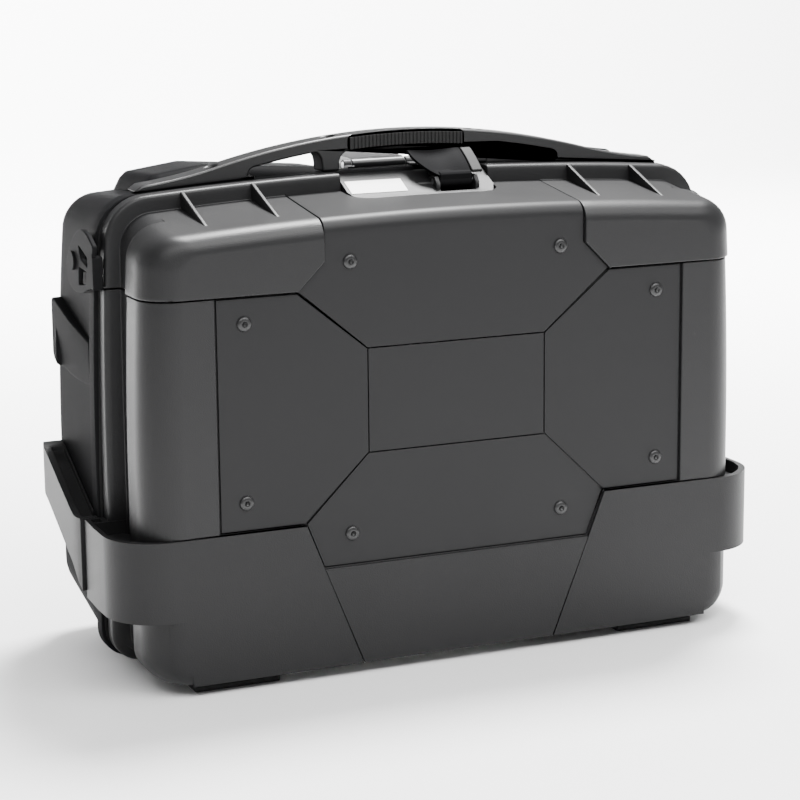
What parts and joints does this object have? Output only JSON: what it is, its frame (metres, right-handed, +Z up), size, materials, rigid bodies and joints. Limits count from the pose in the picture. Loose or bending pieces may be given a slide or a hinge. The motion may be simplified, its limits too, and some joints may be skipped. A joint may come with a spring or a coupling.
{
  "type": "motorcycle side case",
  "caption": "Hard motorcycle side case with a bottom-hinged lid, an upper flap, panelled front, arched carrying handle, lever latch, side hooks and rear rack docking.",
  "frame": {"origin": "centre of the case's footprint, at the height its feet stand on", "axes": "+X along the case's length, -Y out of the front face with the panels, +Y towards the motorcycle, +Z up"},
  "size_m": [0.53, 0.222, 0.3895],
  "materials": {
    "shell": "fine-grained black",
    "bumper": "fine-grained black, slightly softer",
    "panel": "satin black",
    "steel": "zinc plated",
    "screw": "black",
    "brass": "nickel-plated lock plug",
    "rubber": "matte",
    "label": "blank white"
  },
  "bodies": {
    "case": {"base_shell": "shell", "base_back": "shell", "base_back_top": "shell", "base_gasket": "rubber", "side_bumper_left": "bumper", "side_bumper_right": "bumper", "handle": "shell", "handle_grip": "rubber", "handle_screws": "steel", "keeper": "steel", "key_cylinder": "steel", "hook_pins": "screw", "dock_plate": "shell", "striker_frame": "steel", "dock_screws": "steel", "rack_socket_left": "steel", "rack_socket_right": "steel", "bolt_guide": "shell", "bolt_spring": "steel", "release_bracket": "shell", "release_pin": "steel", "rear_feet": "rubber", "rear_pads": "rubber", "lid_hinge_pins": "steel"},
    "lid": {"lid_shell": "shell", "left_panel": "panel", "right_panel": "panel", "centre_panel": "panel", "bottom_panel": "panel", "lid_screws": "screw", "corner_bumper_left": "bumper", "corner_bumper_right": "bumper", "front_skirt": "bumper", "front_feet": "rubber", "flap_hinge_brackets": "shell", "flap_hinge_pins": "steel"},
    "flap": {"flap_shell": "shell", "top_panel": "panel", "flap_screws": "screw", "flap_hinge_arms": "shell", "lock_console": "shell", "blank_label": "label", "latch_pin": "steel"},
    "latch": {"latch_lever": "shell", "latch_grip": "rubber", "latch_hook": "steel"},
    "key": {"key_plug": "brass"},
    "hook_left": {"side_hook_left": "shell"},
    "hook_right": {"side_hook_right": "shell"},
    "release": {"release_lever": "shell"},
    "bolt": {"dock_bolt": "steel"}
  },
  "joints": [
    {"name": "lid_hinge", "type": "hinge", "parent": "case", "child": "lid", "pos_m": [0, -0.019, 0.0055], "axis": [1, 0, 0], "range_deg": [0, 90]},
    {"name": "flap_hinge", "type": "hinge", "parent": "lid", "child": "flap", "pos_m": [0, -0.097, 0.22], "axis": [1, 0, 0], "range_deg": [0, 90]},
    {"name": "latch_pivot", "type": "hinge", "parent": "flap", "child": "latch", "pos_m": [0.028, -0.041, 0.352], "axis": [1, 0, 0], "range_deg": [0, 20], "stiffness_Nm_per_rad": 0.4},
    {"name": "key_turn", "type": "hinge", "parent": "case", "child": "key", "pos_m": [0.0365, 0.021, 0.358], "axis": [0, 0, 1], "range_deg": [0, 90]},
    {"name": "hook_left_swing", "type": "hinge", "parent": "case", "child": "hook_left", "pos_m": [-0.25, 0.015, 0.303], "axis": [-1, 0, 0], "range_deg": [0, 60]},
    {"name": "hook_right_swing", "type": "hinge", "parent": "case", "child": "hook_right", "pos_m": [0.25, 0.015, 0.303], "axis": [-1, 0, 0], "range_deg": [0, 60]},
    {"name": "release_pivot", "type": "hinge", "parent": "case", "child": "release", "pos_m": [0, 0.039, 0.3585], "axis": [1, 0, 0], "range_deg": [0, 14.3], "stiffness_Nm_per_rad": 0.8},
    {"name": "bolt_slide", "type": "slide", "parent": "case", "child": "bolt", "axis": [0, 0, 1], "range_m": [0, 0.0125], "deforming": ["bolt_spring"]}
  ],
  "couplings": [
    {"joint": "bolt_slide", "follows": "release_pivot", "m_per_rad": 0.0498}
  ]
}
